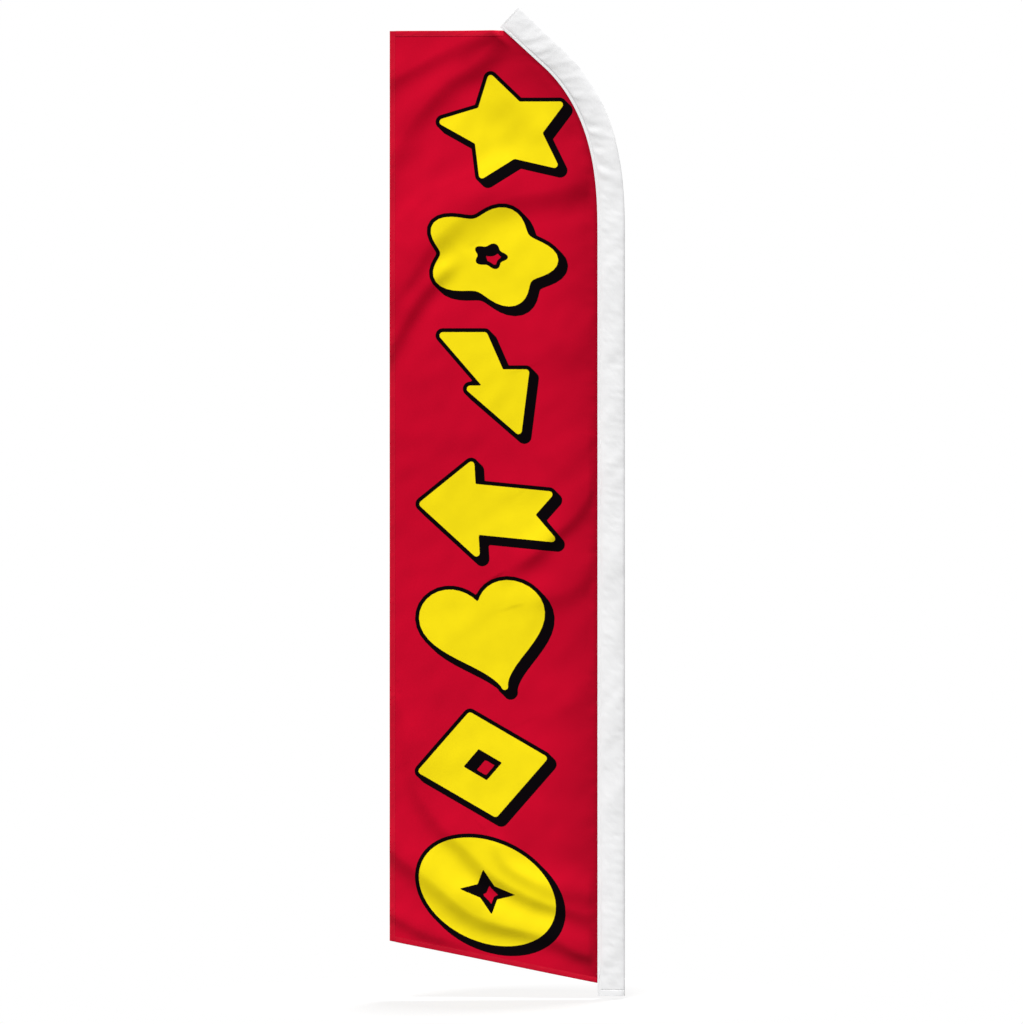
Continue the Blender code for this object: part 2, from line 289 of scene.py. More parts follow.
def relief(x, z):
    """How far the panel stands from its own plane towards +Y."""
    x, z = np.asarray(x, float), np.asarray(z, float)
    from_seam = seam_distance(x, z)
    from_free = x - FREE_EDGE_X
    y = BROAD_WAVE * np.sin(2.0 * math.pi * (z / 1.55 + from_free / 1.9) + 0.6)
    y += LESSER_WAVE * np.sin(2.0 * math.pi * (z / 0.83 - from_free / 1.1) + 2.1)
    wander = FOLD_WANDER * waves(x, z, 3, 16, 0.16, 0.5, 0.0, 1.5)
    uneven = 1.0 + 0.16 * waves(x, z, 4, 14, 0.18, 0.6, 0.0, 1.5)
    for (height, lower, upper), points in FOLDS:
        curve = curve_through(points, 24) + np.array([FREE_EDGE_X, 0.0])
        near = (z > curve[:, 1].min() - FOLD_REACH[1]) & (z < curve[:, 1].max() + FOLD_REACH[1])
        signed, share = distance_to_curve(x[near], z[near], curve)
        open_end = smooth(share / 0.16) * smooth((1.0 - share) / 0.22)
        size = height * uneven[near] * (FOLD_END + (1.0 - FOLD_END) * open_end)
        fade = 1.0 - smooth((np.abs(signed) - FOLD_REACH[0]) / (FOLD_REACH[1] - FOLD_REACH[0]))
        y[near] -= size * fade * fold_profile(signed + wander[near], lower, upper)
    y += CRUMPLE * waves(x, z, 11, 36, 0.07, 0.32, math.radians(50), 0.6)
    y *= smooth((from_seam - 0.001) / SEAM_REACH)
    bent = smooth((z - SLEEVE_RISE + 0.05) / 0.55)
    y -= SEAM_STEP_BACK * (1.0 - bent) * (1.0 - np.exp(-from_seam / 0.06))
    y += BEND_STEP_BACK * bent * (1.0 - np.exp(-from_seam / 0.09))
    y += BODY_STEP_BACK * (1.0 - bent) * smooth(from_seam / 0.45)
    pucker = np.exp(-from_seam / 0.030) * smooth(from_seam / 0.012)
    y += PUCKER * pucker * waves(x, z, 5, 24, 0.018, 0.09, 0.0, 0.6)
    past = np.maximum(-y - HIGH_FOLD, 0.0)
    return y + past - FOLD_ROOM * np.tanh(past / FOLD_ROOM)


def panel_surface(x, z, lift=0.0):
    """Points on the panel's cloth, lifted off its face towards -Y, and the normals there."""
    x, z = np.asarray(x, float), np.asarray(z, float)
    probe = 0.002
    y = relief(x, z)
    slope_x = (relief(x + probe, z) - y) / probe
    slope_z = (relief(x, z + probe) - y) / probe
    normal = np.stack([slope_x, -np.ones_like(y), slope_z], axis=-1)
    normal /= np.linalg.norm(normal, axis=-1, keepdims=True)
    return np.stack([x, y, z], axis=-1) + normal * lift, normal


# ---------------------------------------------------------------- pole sleeve


CHANNEL = 0.0085  # half the depth of the sleeve's channel in its straight run
CHANNEL_SLIMMER = 0.0035  # by this much in the bend
CHANNEL_WAVE = 0.0012
SEWN_SHUT = 0.0016  # half the depth at the top end
WALL_DENT = 0.0006
WALL_CREASE = 0.00016
BEND_PUCKER = 0.0006
ROW_GROOVE = (0.0004, 0.0022)  # depth and half width of the groove along a row of stitches


def sleeve_fullness(run):
    """Half the depth of the sleeve's channel: limp and uneven, closed at the top end."""
    uneven = CHANNEL + CHANNEL_WAVE * waves(run, 0.0 * run, 21, 10, 0.25, 0.9, math.pi / 2, 0.1)
    uneven -= CHANNEL_SLIMMER * smooth((run - SLEEVE_RISE) / 0.3)
    closed = smooth((SLEEVE_RUN - 0.03 - run) / 0.16)
    return SEWN_SHUT + np.clip(uneven, 0.004, 0.014) * closed


def sleeve_dents(run, across, side):
    """Small dents of one wall, with slanting puckers where the strip is forced round the bend."""
    seed = 31 if side < 0 else 47
    dents = WALL_DENT * waves(run, across, seed, 22, 0.05, 0.22, math.radians(20), 0.6)
    dents += WALL_CREASE * waves(run, across, seed + 2, 30, 0.014, 0.05, math.radians(-60), 0.5)
    bent = smooth((run - SLEEVE_RISE - 0.05) / 0.25) * smooth((SLEEVE_RUN - run) / 0.08)
    inner = 1.0 - 0.75 * across / SLEEVE_WIDTH
    slanted = run - 0.55 * across * side
    puckers = waves(slanted, 0.0 * run, seed + 1, 12, 0.030, 0.075, math.pi / 2, 0.1)
    return dents + BEND_PUCKER * bent * inner * puckers


def turn_middle(turn):
    """0 at the seam side of either wall, 1 at the outer fold."""
    return np.where(turn > 1.0, 2.0 - turn, turn)


def sleeve_wall(run, turn, inset=0.0):
    """Points on the sleeve: turn is 0 at the back of the seam, 1 at the outer fold, 2 in front."""
    run, turn = np.broadcast_arrays(np.asarray(run, float), np.asarray(turn, float))
    side = np.where(turn > 1.0, -1.0, 1.0)
    angle = math.pi * turn_middle(turn)
    reach = SLEEVE_WIDTH - SEAM_LAP - 2.5 * inset
    share = (1.0 - np.cos(angle)) / 2
    outward = SEAM_LAP + 1.25 * inset + reach * share
    fuller = share**1.5  # the channel is deepest towards its outer fold
    round_off = np.maximum(4.0 * fuller * (1.0 - fuller), 0.0) ** 0.36
    depth = LEG_Y * (1.0 - smooth((turn_middle(turn) - 0.8) / 0.2))
    depth = depth + sleeve_fullness(run) * round_off
    dents = np.where(side > 0, sleeve_dents(run, outward, 1.0), sleeve_dents(run, outward, -1.0))
    for row in (MOUTH_ROW, TOP_ROW):
        dents = dents - ROW_GROOVE[0] * np.exp(-(((run - row) / ROW_GROOVE[1]) ** 2))
    dented = np.maximum(depth + dents * smooth(round_off * 1.6), 0.0004 * round_off)
    y = side * (dented - inset * round_off)
    x, z = seam_point(run, outward)
    return np.stack([x, y, z], axis=-1)


# ---------------------------------------------------------------- meshes


def make_object(name, mesh, material, *replaced):
    obj = bpy.data.objects.new(name, mesh)
    bpy.context.scene.collection.objects.link(obj)
    mesh.materials.append(material)
    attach(obj, "root")
    if replaced:
        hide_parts(*replaced)
    return obj


def grid_mesh(name, points):
    """A quad mesh over a rows by columns array of points, shaded smooth."""
    rows, columns = points.shape[:2]
    index = np.arange(rows * columns).reshape(rows, columns)
    corners = (index[:-1, :-1], index[:-1, 1:], index[1:, 1:], index[1:, :-1])
    faces = np.stack([c.ravel() for c in corners], axis=1)
    mesh = bpy.data.meshes.new(name)
    mesh.from_pydata(points.reshape(-1, 3).tolist(), [], faces.tolist())
    mesh.shade_smooth()
    return mesh


def edged(low, high, count):
    """Even stations with one more just inside either end, so that a cut edge stays crisp."""
    even = np.linspace(low, high, count)
    close = math.copysign(EDGE_STEP, high - low)
    return np.concatenate([even[:1], [low + close], even[1:-1], [high - close], even[-1:]])


def thicken(obj, thickness):
    layer = obj.modifiers.new("Thickness", "SOLIDIFY")
    layer.thickness = thickness
    layer.offset = 0.0


def cloth_strip(name, points, thickness, material, *replaced):
    obj = make_object(name, grid_mesh(name, points), material, *replaced)
    thicken(obj, thickness)
    return obj


def thread_pieces(name, centre, normal, sizes, flatness, material, *replaced):
    """Short lengths of thread: centre and normal are pieces by rings by 3, sizes are the radii."""
    along = centre[:, -1:] - centre[:, :1]
    along = along / np.linalg.norm(along, axis=-1, keepdims=True)
    side = np.cross(np.broadcast_to(along, normal.shape), normal)
    angle = 2.0 * math.pi * np.arange(THREAD_SIDES) / THREAD_SIDES
    ring = flatness * np.cos(angle)[:, None] * normal[:, :, None, :]
    ring = ring + np.sin(angle)[:, None] * side[:, :, None, :]
    verts = centre[:, :, None, :] + ring * np.asarray(sizes)[None, :, None, None]
    index = np.arange(verts.size // 3).reshape(verts.shape[:3])
    turned = np.roll(index, -1, axis=2)
    quads = np.stack([index[:, :-1], turned[:, :-1], turned[:, 1:], index[:, 1:]], axis=-1)
    caps = np.concatenate([index[:, 0, ::-1], index[:, -1]])
    mesh = bpy.data.meshes.new(name)
    mesh.from_pydata(verts.reshape(-1, 3).tolist(), [], quads.reshape(-1, 4).tolist() + caps.tolist())
    mesh.shade_smooth()
    return make_object(name, mesh, material, *replaced)


def stitch_row(name, points, normals, material, *replaced):
    """Separate short stitches along a row of points, each one diving into the cloth at its ends."""
    length = np.concatenate([[0.0], np.cumsum(np.linalg.norm(np.diff(points, axis=0), axis=1))])
    count = max(round(length[-1] / STITCH_PITCH), 2)
    starts = np.arange(count) * length[-1] / count
    shares = np.array([0.0, 0.16, 0.5, 0.84, 1.0])  # stations along a stitch
    lifts = np.array([-0.9, 0.2, 0.45, 0.2, -0.9]) * THREAD_RADIUS
    sizes = np.array([0.55, 0.95, 1.0, 0.95, 0.55]) * THREAD_RADIUS
    where = starts[:, None] + shares * STITCH_PITCH * STITCH_SHARE
    centre = np.stack([np.interp(where, length, points[:, k]) for k in range(3)], axis=-1)
    normal = np.stack([np.interp(where, length, normals[:, k]) for k in range(3)], axis=-1)
    normal /= np.linalg.norm(normal, axis=-1, keepdims=True)
    centre = centre + normal * lifts[None, :, None]
    return thread_pieces(name, centre, normal, sizes, 0.8, material, *replaced)


# ---------------------------------------------------------------- print

OUTLINE = 0.0145  # black round each shape
CORNER_ROUND = 0.012
SHADOW = (0.0215, -0.0215)  # the black drop shadow's offset
FIRST_SHAPE_DROP = 0.360  # the top edge down to the middle of the first shape
SHAPE_PITCH = 0.4665
SLANT = -0.16  # every shape leans like this


def star(points, inner, turn=0.0):
    angle = math.pi / 2 + turn + math.pi * np.arange(2 * points) / points
    radius = np.where(np.arange(2 * points) % 2 == 0, 1.0, inner)
    return np.stack([radius * np.cos(angle), radius * np.sin(angle)], axis=1)


def lobes(count, depth, turn=0.0, scale=1.0):
    angle = 2.0 * math.pi * np.arange(72) / 72
    radius = scale * (1.0 + depth * np.cos(count * angle + turn)) / (1.0 + depth)
    return np.stack([radius * np.cos(angle), radius * np.sin(angle)], axis=1)


def heart():
    t = 2.0 * math.pi * np.arange(64) / 64
    z = 13 * np.cos(t) - 5 * np.cos(2 * t) - 2 * np.cos(3 * t) - np.cos(4 * t)
    return np.stack([np.sin(t) ** 3, (z + 2.5) / 14.5], axis=1)


BOLT = np.array(
    [(-0.9, 1.0), (0.1, 1.0), (0.35, 0.22), (0.95, 0.22), (0.55, -1.0), (-0.45, -0.12), (0.0, -0.12)]
)
ARROW = np.array(
    [(-1.0, 0.0), (-0.2, 1.0), (-0.2, 0.5), (1.0, 0.5), (0.7, 0.0), (1.0, -0.5), (-0.2, -0.5), (-0.2, -1.0)]
)
DIAMOND = np.array([(-1.0, 0.0), (0.0, 1.0), (1.0, 0.0), (0.0, -1.0)])

# Each shape: outline, hole or None, sideways from the panel's middle, width, height, turn
SHAPES = (
    (star(5, 0.52), None, 0.045, 0.490, 0.400, 0.14),
    (lobes(5, 0.16, 0.4), lobes(5, 0.16, 0.4, 0.26), -0.012, 0.495, 0.378, 0.0),
    (BOLT, None, -0.021, 0.330, 0.374, 0.0),
    (ARROW, None, -0.026, 0.488, 0.350, -0.10),
    (heart(), None, -0.017, 0.470, 0.390, 0.16),
    (DIAMOND, 0.30 * DIAMOND, -0.040, 0.480, 0.385, 0.10),
    (lobes(2, 0.0), 0.42 * star(4, 0.42, 0.3), -0.023, 0.500, 0.385, -0.35),
)


def polygon_distance(x, z, polygon):
    """Signed distance from a polygon's edge, negative inside."""
    best = np.full(x.shape, np.inf)
    inside = np.zeros(x.shape, bool)
    for (ax, az), (bx, bz) in zip(polygon, np.roll(polygon, -1, axis=0)):
        ex, ez = bx - ax, bz - az
        t = np.clip(((x - ax) * ex + (z - az) * ez) / (ex * ex + ez * ez), 0.0, 1.0)
        best = np.minimum(best, (x - ax - ex * t) ** 2 + (z - az - ez * t) ** 2)
        if ez != 0.0:
            inside ^= ((az > z) != (bz > z)) & (x < ax + ex * (z - az) / ez)
    return np.where(inside, -1.0, 1.0) * np.sqrt(best)


def placed(polygon, middle, width, height, turn, grow):
    """A shape's outline on the panel, grown or shrunk evenly and then turned and slanted."""
    shaped = polygon * [width / 2 - grow, height / 2 - grow]
    x = shaped[:, 0] * math.cos(turn) - shaped[:, 1] * math.sin(turn)
    z = shaped[:, 0] * math.sin(turn) + shaped[:, 1] * math.cos(turn)
    return np.stack([middle[0] + x + SLANT * z, middle[1] + z], axis=1)


def shape_distance(x, z):
    """Signed distance from the edge of the nearest printed shape, negative inside one."""
    nearest = np.full(x.shape, 1.0)
    for k, (outline, hole, sideways, width, height, turn) in enumerate(SHAPES):
        middle_z = TOP_Z - FIRST_SHAPE_DROP - SHAPE_PITCH * k
        middle = (FREE_EDGE_X + PANEL_WIDTH / 2 + sideways, middle_z)
        near = np.abs(z - middle_z) < height / 2 + 0.08
        outer = placed(outline, middle, width, height, turn, CORNER_ROUND)
        distance = polygon_distance(x[near], z[near], outer) - CORNER_ROUND
        if hole is not None:
            inner = placed(hole, middle, width, height, turn, 0.0)
            distance = np.maximum(distance, -polygon_distance(x[near], z[near], inner))
        nearest[near] = np.minimum(nearest[near], distance)
    return nearest


def print_distances(x, z):
    """Distances from the edge of the yellow print and from the edge of the black print."""
    face = shape_distance(x, z)
    black = face - OUTLINE
    for share in (0.35, 0.7, 1.0):  # the outline, swept along the drop shadow's offset
        shadow = shape_distance(x - SHADOW[0] * share, z - SHADOW[1] * share) - OUTLINE
        black = np.minimum(black, shadow)
    return face, black


# ---------------------------------------------------------------- materials


class Nodes:
    """A material's node tree, with short calls to add and join nodes."""

    def __init__(self, name, roughness, sheen=0.0, specular=0.35):
        self.material = bpy.data.materials.new(name)
        self.material.use_nodes = True
        self.tree = self.material.node_tree
        self.shader = self.tree.nodes["Principled BSDF"]
        self.shader.inputs["Roughness"].default_value = roughness
        self.shader.inputs["Specular IOR Level"].default_value = specular
        self.shader.inputs["Sheen Weight"].default_value = sheen
        self.shader.inputs["Sheen Roughness"].default_value = 0.45

    def add(self, kind, links=(), **values):
        node = self.tree.nodes.new(kind)
        for key, value in values.items():
            setattr(node, key, value)
        for socket, source in dict(links).items():
            self.put(node, socket, source)
        return node

    def put(self, node, socket, source):
        if hasattr(source, "is_output"):
            self.tree.links.new(source, node.inputs[socket])
        else:
            node.inputs[socket].default_value = source

    def place(self):
        return self.add("ShaderNodeTexCoord").outputs["Object"]

    def math(self, operation, first, second=0.0):
        return self.add("ShaderNodeMath", {0: first, 1: second}, operation=operation).outputs[0]

    def noise(self, scale, detail=2.0, stretch=(1.0, 1.0, 1.0)):
        mapped = self.add("ShaderNodeMapping", {"Vector": self.place(), "Scale": stretch})
        links = {"Vector": mapped.outputs[0], "Scale": scale, "Detail": detail}
        return self.add("ShaderNodeTexNoise", links).outputs["Fac"]

    def remap(self, value, low, high, to_low, to_high):
        names = ("Value", "From Min", "From Max", "To Min", "To Max")
        links = dict(zip(names, (value, low, high, to_low, to_high)))
        return self.add("ShaderNodeMapRange", links).outputs[0]

    def mix(self, share, first, second):
        node = self.add("ShaderNodeMix", data_type="RGBA")
        for socket, source in ((0, share), (6, first), (7, second)):
            if isinstance(source, tuple):
                source = (*source, 1.0)
            self.put(node, socket, source)
        return node.outputs[2]

    def attribute(self, name):
        return self.add("ShaderNodeAttribute", attribute_name=name).outputs["Fac"]

    def weave(self, pitch):
        """Yarns passing over and under each other, as a height from 0 to 1."""
        place = self.place()
        scale = 0.157 / pitch  # a wave is 2 pi / 20 / scale long, which is two yarns
        warp, weft = (
            self.add(
                "ShaderNodeTexWave",
                {"Vector": place, "Scale": scale, "Distortion": 0.3, "Detail": 1.0},
                wave_type="BANDS",
                bands_direction=direction,
            ).outputs["Fac"]
            for direction in ("X", "Z")
        )
        over = self.math("MULTIPLY", warp, weft)
        under = self.math("MULTIPLY", self.math("SUBTRACT", 1.0, warp), self.math("SUBTRACT", 1.0, weft))
        return self.math("MAXIMUM", over, under)

    def bump(self, height, distance):
        links = {"Height": height, "Distance": distance, "Strength": 1.0}
        node = self.add("ShaderNodeBump", links)
        self.tree.links.new(node.outputs[0], self.shader.inputs["Normal"])

    def color(self, source):
        self.put(self.shader, "Base Color", source)


def shade_range(color, low, high):
    return tuple(c * low for c in color), tuple(min(c * high, 1.0) for c in color)


def varied(nodes, color, low, high, scale):
    """The colour, drifting between a darker and a lighter shade."""
    drift = nodes.remap(nodes.noise(scale, 3.0), 0.3, 0.7, 0.0, 1.0)
    return nodes.mix(drift, *shade_range(color, low, high))


def printed_cloth():
    """Red, black and yellow dye, with painted shade on the red: darker towards the seam, and a painted
    shadow line right beside it.
    """
    nodes = Nodes("printed_polyester", roughness=0.8, sheen=0.01, specular=0.04)
    bleed = 0.0006  # half the width over which the dyes run into each other
    face = nodes.attribute("print_face")
    black = nodes.attribute("print_black")
    fray = nodes.remap(nodes.noise(420.0, 2.0), 0.0, 1.0, -0.0007, 0.0007)
    on_face = nodes.remap(nodes.math("ADD", face, fray), -bleed, bleed, 1.0, 0.0)
    on_black = nodes.remap(nodes.math("ADD", black, fray), -bleed, bleed, 1.0, 0.0)
    red = varied(nodes, RED, 0.95, 1.03, 7.0)
    from_seam = nodes.attribute("from_seam")
    # painted shade: the red darkens over the 0.24 m next to the sleeve's seam, standing in for shade there
    painted_seam_shade = nodes.remap(from_seam, 0.0, 0.24, 1.0, 0.0)
    red = nodes.mix(nodes.math("POWER", painted_seam_shade, 1.5), red, shade_range(RED, 0.76, 1.0)[0])
    # painted shadow line: the red is darker still within 16 mm of the seam, standing in for the shadow
    # along it
    edge = nodes.remap(from_seam, 0.0, 0.016, 0.8, 0.0)
    red = nodes.mix(edge, red, shade_range(RED, 0.55, 1.0)[0])
    yellow = varied(nodes, YELLOW, 0.96, 1.02, 9.0)
    color = nodes.mix(on_black, red, BLACK)
    color = nodes.mix(on_face, color, yellow)
    nodes.color(color)
    nodes.bump(nodes.weave(0.0009), 0.00010)
    return nodes.material


def plain_cloth(name, color, roughness=0.8, pitch=0.0010, sheen=0.02, depth=0.00012):
    nodes = Nodes(name, roughness, sheen, specular=0.1)
    nodes.color(varied(nodes, color, 0.955, 1.01, 11.0))
    nodes.bump(nodes.weave(pitch), depth)
    return nodes.material


def spun_thread(name, color):
    nodes = Nodes(name, roughness=0.6, sheen=0.1)
    nodes.color(varied(nodes, color, 0.85, 1.05, 900.0))
    nodes.bump(nodes.noise(2600.0, 1.0, (1.0, 1.0, 0.35)), 0.00002)
    return nodes.material


printed = printed_cloth()
hem_cloth = plain_cloth("turned_hem", RED, 0.8, 0.0009, 0.02, 0.00010)
sleeve_cloth = plain_cloth("white_polyester", WHITE)
webbing = plain_cloth("white_webbing", (0.80, 0.80, 0.79), 0.7, 0.0024, 0.02, 0.0004)
red_thread = spun_thread("red_thread", (0.50, 0.006, 0.025))
white_thread = spun_thread("white_thread", (0.93, 0.93, 0.93))


# ---------------------------------------------------------------- panel and hems


def build_panel():
    """The printed sheet, from the free edge to the end of its lap inside the sleeve."""
    columns = round(PANEL_WIDTH / PANEL_STEP)
    rows = round((TOP_Z - PANEL_FOOT_GAP) / PANEL_STEP)
    up = edged(0.0, TOP_Z - PANEL_FOOT_GAP, rows + 1)[:, None] / (TOP_Z - PANEL_FOOT_GAP)
    run = PANEL_FOOT_GAP + (SEAM_CORNER - PANEL_FOOT_GAP) * up
    seam_x, seam_z = seam_point(run)
    left_z = FREE_FOOT_Z + (TOP_Z - FREE_FOOT_Z) * up
    across = edged(0.0, PANEL_WIDTH, columns + 1)[None, :] / PANEL_WIDTH
    x = FREE_EDGE_X + (seam_x - FREE_EDGE_X) * across
    z = left_z + (seam_z - left_z) * across
    lap_x, lap_z = seam_point(run, SEAM_LAP * np.array([[0.5, 0.95]]))
    x = np.concatenate([x, lap_x], axis=1)
    z = np.concatenate([z, lap_z], axis=1)
    y = relief(x, z)
    y[:, -3:] = 0.0  # the seam's line and the lap inside it are flat
    mesh = grid_mesh("printed_panel", np.stack([x, y, z], axis=-1))
    values_by_name = dict(zip(("print_face", "print_black"), print_distances(x.ravel(), z.ravel())))
    values_by_name["from_seam"] = seam_distance(x.ravel(), z.ravel())
    for name, values in values_by_name.items():
        attribute = mesh.attributes.new(name, "FLOAT", "POINT")
        attribute.data.foreach_set("value", values.astype(np.float32))
    panel = make_object("printed_panel", mesh, printed, "flag_panel")
    thicken(panel, PANEL_CLOTH)
    return panel


HEM_LIFT = PANEL_CLOTH + LAYER_GAP
SEWN_DOWN = 0.82  # share of its lift that a hem keeps under its stitches


def hem_profile():
    """Across a turned edge: distance from the cloth's edge, and lift off its face."""
    row = HEM_WIDTH - STITCH_INSET
    across = [HEM_WIDTH, HEM_WIDTH - EDGE_STEP, row + 0.0010, row, row - 0.0010]
    shares = [1.15, 1.12, 1.0, SEWN_DOWN, 1.0]
    across += [row - 0.004, 0.0095, 0.006, 0.003, 0.0008, -0.0001, -0.0004]
    shares += [1.0, 1.0, 1.0, 1.0, 1.0, 0.8, 0.1]
    return np.array(across), HEM_LIFT * np.array(shares)


def build_hem(name, edge, inward, material, replaced):
    """A turned edge along edge points (x, z), folding over towards inward (x, z) directions."""
    across, lifts = hem_profile()
    x = edge[:, 0][:, None] + inward[:, 0][:, None] * across
    z = edge[:, 1][:, None] + inward[:, 1][:, None] * across
    points, normals = panel_surface(x, z)
    free = np.clip(1.0 - np.abs(across - HEM_WIDTH / 2) / (HEM_WIDTH / 2), 0.0, 1.0)
    slack = HEM_SLACK * free * (1.0 + 0.8 * waves(x, z, 61, 24, 0.008, 0.045, math.radians(35), 0.7))
    points = points + normals * (lifts + np.maximum(slack, 0.0))[:, :, None]
    hem = cloth_strip(name, points, PANEL_CLOTH * 0.9, material, replaced)
    return hem


def hem_lines():
    """Edge points and inward directions of the three hems."""
    start_x = FREE_EDGE_X + HEM_WIDTH + LAYER_GAP
    fly_z = edged(FREE_FOOT_Z, TOP_Z, 720)
    fly = np.stack([np.full(fly_z.shape, FREE_EDGE_X), fly_z], axis=1)
    top_x = edged(start_x, seam_x_at(TOP_Z) - 0.002, 100)
    top = np.stack([top_x, np.full(top_x.shape, TOP_Z)], axis=1)
    foot_x = edged(start_x, SEAM_X - 0.002, 170)
    foot = np.stack([foot_x, foot_z(foot_x)], axis=1)
    return {
        "fly_hem": (fly, np.tile([1.0, 0.0], (len(fly), 1))),
        "top_hem": (top, np.tile([0.0, -1.0], (len(top), 1))),
        "foot_hem": (foot, np.tile([0.0, 1.0], (len(foot), 1))),
    }


def build_hems():
    """The three turned edges and the two threads of each one's stitch row."""
    made = []
    row_inset = HEM_WIDTH - STITCH_INSET
    for name, (edge, inward) in hem_lines().items():
        made.append(build_hem(f"turned_{name}", edge, inward, hem_cloth, name))
        row = edge + inward * row_inset
        keep = (row[:, 0] > FREE_EDGE_X + ROW_END) & (row[:, 1] < TOP_Z - ROW_END)
        keep &= row[:, 0] < seam_x_at(row[:, 1]) - ROW_END
        row = row[keep]
        points, normals = panel_surface(row[:, 0], row[:, 1])
        front = points + normals * (PANEL_CLOTH / 2 + HEM_LIFT * SEWN_DOWN)
        back = points - normals * PANEL_CLOTH / 2
        for side, place, facing in (("needle", front, normals), ("bobbin", back, -normals)):
            label = f"{name}_{side}"
            stitches = stitch_row(f"{label}_stitches", place, facing, red_thread, f"{label}_thread")
    return made


# ---------------------------------------------------------------- sleeve pieces


def build_sleeve():
    """The folded white strip: back leg, back wall, outer fold, front wall, front leg."""
    rows = round(SLEEVE_RUN / SLEEVE_STEP)
    close = [row + off for row in (MOUTH_ROW, TOP_ROW) for off in (-0.002, 0.0, 0.002)]
    run = np.union1d(edged(0.0, SLEEVE_RUN, rows + 1), close)[:, None]
    turn = np.linspace(0.0, 2.0, 61)[None, :]
    walls = sleeve_wall(run, turn)
    walls[:, 0] = walls[:, 0] * [1, 0, 1] + [0, LEG_Y, 0]
    walls[:, -1] = walls[:, -1] * [1, 0, 1] - [0, LEG_Y, 0]
    legs = []
    for y in (LEG_Y, -LEG_Y):
        x, z = seam_point(run, SEAM_LAP * np.array([[0.0, 0.05, 0.35, 0.7]]))
        legs.append(np.stack([x, np.full(x.shape, y), z], axis=-1))
    points = np.concatenate([legs[0], walls, legs[1][:, ::-1]], axis=1)
    sleeve = cloth_strip("white_pole_sleeve", points, SLEEVE_CLOTH, sleeve_cloth, "pole_sleeve")
    return sleeve


def build_lining(name, low, high, rows, material, replaced):
    """A layer inside the sleeve's walls, between two runs up it."""
    run = edged(low, high, rows)[:, None]
    turn = np.linspace(0.14, 1.86, 41)[None, :]  # stops short of the seam on both sides
    walls = sleeve_wall(run, turn, SLEEVE_CLOTH + LAYER_GAP)
    return cloth_strip(name, walls, SLEEVE_CLOTH, material, replaced)


def build_linings():
    hem = build_lining("turned_mouth_hem", 0.0, MOUTH_HEM, 8, sleeve_cloth, "sleeve_mouth_hem")
    low, high = SLEEVE_RUN - POCKET_LENGTH, SLEEVE_RUN - 0.001
    pocket = build_lining("tip_pocket_lining", low, high, 16, webbing, "pole_tip_pocket")
    return hem, pocket


def wall_row(run, turn):
    """Points and outward normals along a path on the sleeve's wall."""
    here = sleeve_wall(run, turn)
    probe = 0.004
    up = sleeve_wall(run + probe, turn) - sleeve_wall(run - probe, turn)
    round_way = sleeve_wall(run, turn + probe) - sleeve_wall(run, turn - probe)
    normal = np.cross(round_way, up)
    normal /= np.linalg.norm(normal, axis=-1, keepdims=True)
    middle_x, middle_z = seam_point(run, SEAM_LAP + (SLEEVE_WIDTH - SEAM_LAP) * 0.6)
    outwards = here - np.stack([middle_x, 0.0 * middle_x, middle_z], axis=-1)
    return here, normal * np.sign((normal * outwards).sum(axis=-1, keepdims=True))


def build_sleeve_threads():
    """Both threads of the seam's two rows and of the mouth's row, and the top end's two rows."""
    lift = LEG_Y + SLEEVE_CLOTH / 2
    run = np.linspace(ROW_END, SLEEVE_RUN - ROW_END, 700)
    for name, outward in zip(("inner", "outer"), SEAM_ROWS):
        x, z = seam_point(run, outward)
        for side, facing in (("needle", -1.0), ("bobbin", 1.0)):
            points = np.stack([x, np.full(x.shape, facing * lift), z], axis=1)
            normals = np.tile([0.0, facing, 0.0], (len(run), 1))
            label = f"sleeve_seam_{name}_{side}"
            stitches = stitch_row(f"{label}_stitches", points, normals, white_thread, f"{label}_thread")
    half = SLEEVE_CLOTH / 2
    rows = (
        ("sleeve_mouth_needle", MOUTH_ROW, (0.1, 1.9), half),
        ("sleeve_mouth_bobbin", MOUTH_ROW, (0.2, 1.8), -2.5 * SLEEVE_CLOTH - LAYER_GAP),
        ("sleeve_top_front", TOP_ROW, (1.06, 1.94), half),
        ("sleeve_top_back", TOP_ROW, (0.06, 0.94), half),
    )
    for name, height, (first, last), off in rows:
        turn = np.linspace(first, last, 120)
        points, normals = wall_row(np.full(turn.shape, height), turn)
        points = points + normals * off
        stitches = stitch_row(f"{name}_stitches", points, normals, white_thread, f"{name}_thread")


def build_bar_tacks():
    """Dense satin stitches over the two ends of the sleeve seam."""
    across, along, passes = 0.010, 0.034, 74
    lift = LEG_Y + SLEEVE_CLOTH / 2
    tacks = (("top_bar_tack", SEAM_CORNER - along), ("foot_bar_tack", PANEL_FOOT_GAP + along))
    for name, middle in tacks:
        run = (middle + along * ((np.arange(passes) + 0.5) / passes - 0.5))[:, None]
        shares = np.array([-0.5, -0.44, 0.0, 0.44, 0.5])  # stations along a pass
        slant = along / passes * np.where(np.arange(passes) % 2 == 0, 1.0, -1.0)[:, None]
        x, z = seam_point(run + slant * shares, SEAM_LAP / 2 + across * shares[None, :])
        raised = np.array([-1.0, 0.6, 0.9, 0.6, -1.0]) * THREAD_RADIUS * 0.5
        centre = np.stack([x, np.broadcast_to(-lift - raised, x.shape), z], axis=-1)
        normal = np.broadcast_to([0.0, -1.0, 0.0], centre.shape)
        sizes = np.array([0.6, 0.9, 1.0, 0.9, 0.6]) * THREAD_RADIUS * 0.8
        tack = thread_pieces(f"{name}_stitches", centre, normal, sizes, 0.45, white_thread, name)


# ---------------------------------------------------------------- studio


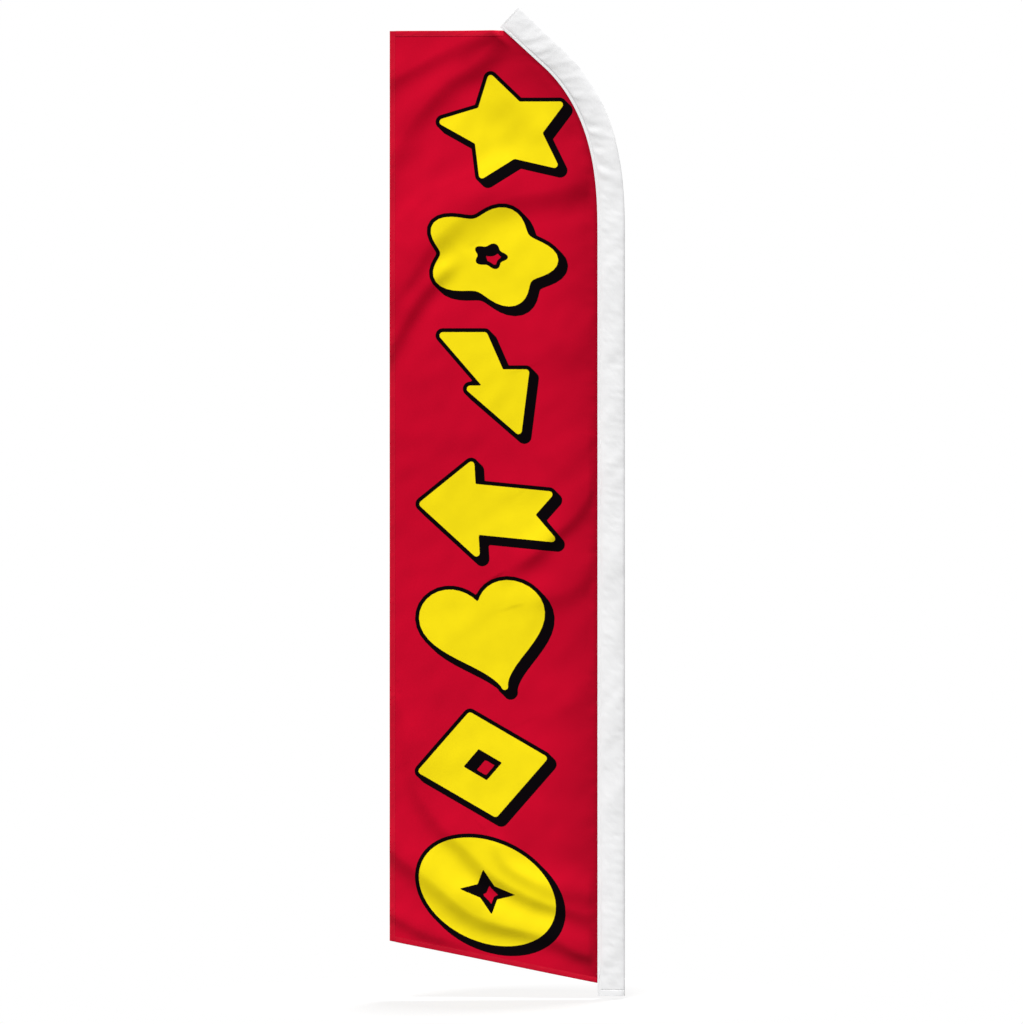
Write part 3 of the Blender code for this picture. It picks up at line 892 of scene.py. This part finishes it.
def build_studio():
    """A white surround, dimmer as light than it looks, and one soft light on each face."""
    scene = bpy.context.scene
    scene.view_settings.view_transform = "Standard"
    world = bpy.data.worlds.new("white_studio")
    world.use_nodes = True
    tree = world.node_tree
    background = tree.nodes["Background"]
    background.inputs["Color"].default_value = (1.0, 1.0, 1.0, 1.0)
    seen = tree.nodes.new("ShaderNodeLightPath").outputs["Is Camera Ray"]
    strength = tree.nodes.new("ShaderNodeMapRange")
    strength.inputs["To Min"].default_value = 0.40
    strength.inputs["To Max"].default_value = 1.0
    tree.links.new(seen, strength.inputs["Value"])
    tree.links.new(strength.outputs[0], background.inputs["Strength"])
    scene.world = world

    soft_light("key", (-0.15, -0.46, 0.88), 4.05)
    soft_light("back", (0.20, 0.46, 0.87), 3.6)


def build_floor():
    """A pale disc under the flag, whose shadows fade out before its rim."""
    middle = (-0.36, 0.0, -0.012)
    radius = 1.25
    turns = 2.0 * math.pi * np.arange(96) / 96
    rim = [(middle[0] + radius * math.cos(turn), radius * math.sin(turn), middle[2]) for turn in turns]
    mesh = bpy.data.meshes.new("floor")
    mesh.from_pydata(rim, [], [list(range(96))])
    floor = bpy.data.objects.new("floor", mesh)
    bpy.context.scene.collection.objects.link(floor)
    nodes = Nodes("pale_floor", roughness=0.9)
    from_middle = nodes.add("ShaderNodeVectorMath", {0: nodes.place(), 1: middle}, operation="DISTANCE")
    near = nodes.remap(from_middle.outputs["Value"], 0.40 * radius, 0.96 * radius, 1.0, 0.0)
    nodes.color(nodes.mix(near, (0.0, 0.0, 0.0), (0.16, 0.16, 0.16)))
    nodes.shader.inputs["Emission Color"].default_value = (1.0, 1.0, 1.0, 1.0)
    nodes.put(nodes.shader, "Emission Strength", nodes.remap(near, 0.0, 1.0, 1.0, 0.64))
    mesh.materials.append(nodes.material)
    floor.visible_diffuse = False


def soft_light(name, direction, strength):
    """Soft light that falls evenly over the whole height, from a direction."""
    light = bpy.data.lights.new(name, "SUN")
    light.angle = math.radians(22)
    light.energy = strength
    lamp = bpy.data.objects.new(name, light)
    bpy.context.scene.collection.objects.link(lamp)
    lamp.rotation_euler = Vector(direction).to_track_quat("Z", "Y").to_euler()


def build_camera():
    """A long lens straight in front, framing the flag with the room that it has above and below."""
    margin_top, margin_foot = 0.025, 0.104
    middle_x = -0.3655
    height = cad_high[2] - cad_low[2] + margin_top + margin_foot
    lens = bpy.data.cameras.new("camera")
    lens.lens, lens.sensor_width = 250.0, 36.0
    camera = bpy.data.objects.new("camera", lens)
    bpy.context.scene.collection.objects.link(camera)
    distance = height * lens.lens / lens.sensor_width
    camera.location = (middle_x, -distance, cad_high[2] + margin_top - height / 2)
    camera.rotation_euler = (math.pi / 2, 0.0, 0.0)
    lens.clip_end = 100.0
    bpy.context.scene.camera = camera


build_camera()
build_studio()
build_floor()
panel = build_panel()
hems = build_hems()
sleeve = build_sleeve()
mouth_hem, tip_pocket = build_linings()
build_sleeve_threads()
build_bar_tacks()
